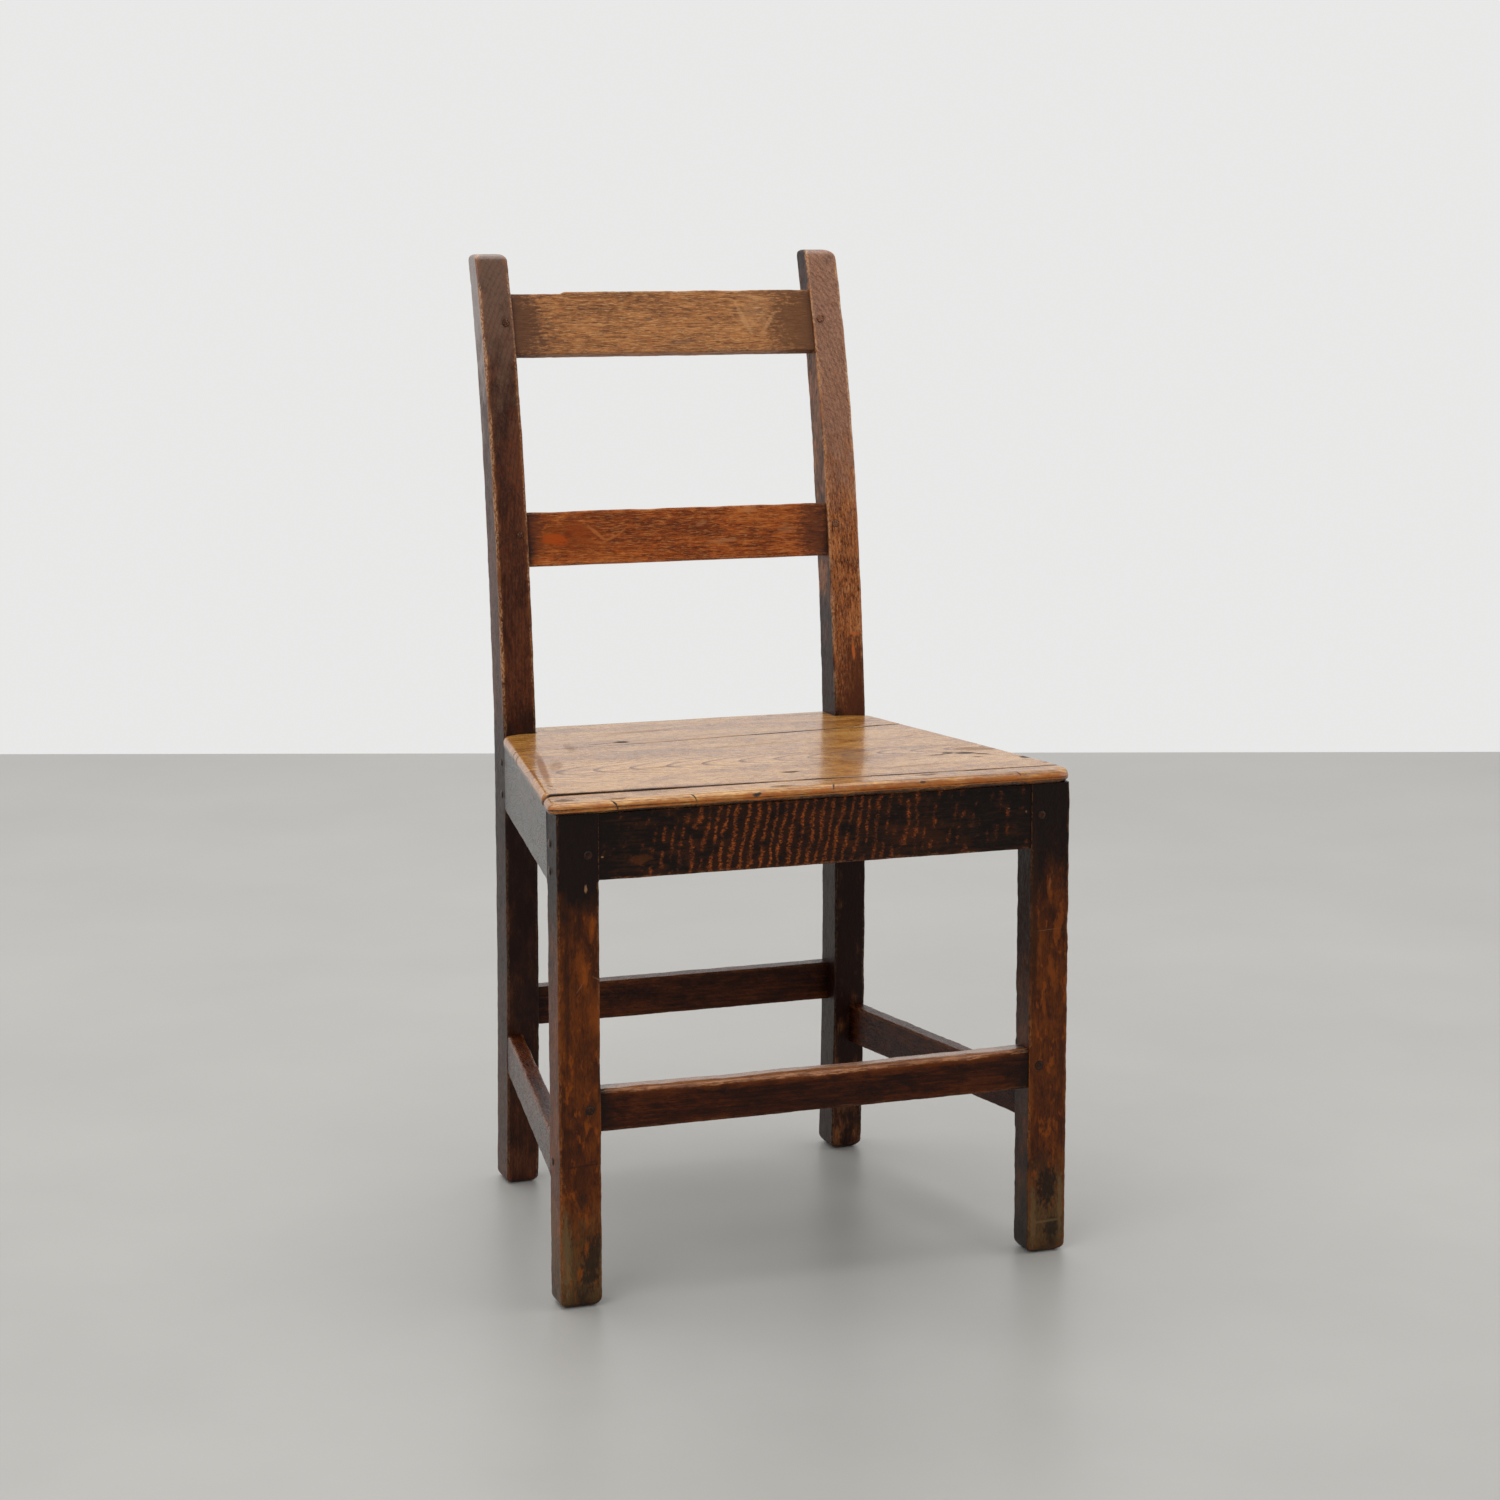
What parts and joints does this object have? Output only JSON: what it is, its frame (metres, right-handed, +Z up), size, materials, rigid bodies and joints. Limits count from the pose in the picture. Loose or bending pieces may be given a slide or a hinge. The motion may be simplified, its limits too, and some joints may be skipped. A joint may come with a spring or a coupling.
{
  "type": "side chair",
  "caption": "Joined oak country side chair with an open ladder back of flat rails, a flush board seat, square legs and low stretchers.",
  "frame": {"origin": "on the floor, under the centre of the chair's bounding box", "axes": "+Z up, +Y from the front of the seat to the back, +X to the right as the chair is faced"},
  "size_m": [0.495, 0.4798, 0.911],
  "materials": {
    "oak_frame": "aged dark oak with worn arrises, waxed",
    "oak_back_rails": "aged mid-brown quarter-sawn oak, waxed",
    "oak_seat": "worn honey-brown oak boards with a polished wax surface",
    "oak_frame_pegs": "dark oak end grain",
    "oak_seat_pegs": "worn oak end grain, waxed"
  },
  "bodies": {
    "root": {"back_board_pegs": "oak_seat_pegs", "back_seat_board": "oak_seat", "back_seat_rail": "oak_frame", "back_stretcher": "oak_frame", "front_board_pegs": "oak_seat_pegs", "front_rail_pegs": "oak_frame_pegs", "front_seat_board": "oak_seat", "front_seat_rail": "oak_frame", "front_stretcher": "oak_frame", "front_stretcher_pegs": "oak_frame_pegs", "left_back_post": "oak_frame", "left_front_leg": "oak_frame", "left_side_rail_pegs": "oak_frame_pegs", "left_side_seat_rail": "oak_frame", "left_side_stretcher": "oak_frame", "left_side_stretcher_peg": "oak_frame_pegs", "middle_back_rail": "oak_back_rails", "middle_board_pegs": "oak_seat_pegs", "middle_rail_pegs": "oak_frame_pegs", "middle_seat_board": "oak_seat", "right_back_post": "oak_frame", "right_front_leg": "oak_frame", "right_side_rail_pegs": "oak_frame_pegs", "right_side_seat_rail": "oak_frame", "right_side_stretcher": "oak_frame", "right_side_stretcher_peg": "oak_frame_pegs", "top_back_rail": "oak_back_rails", "top_rail_pegs": "oak_frame_pegs"}
  },
  "joints": []
}
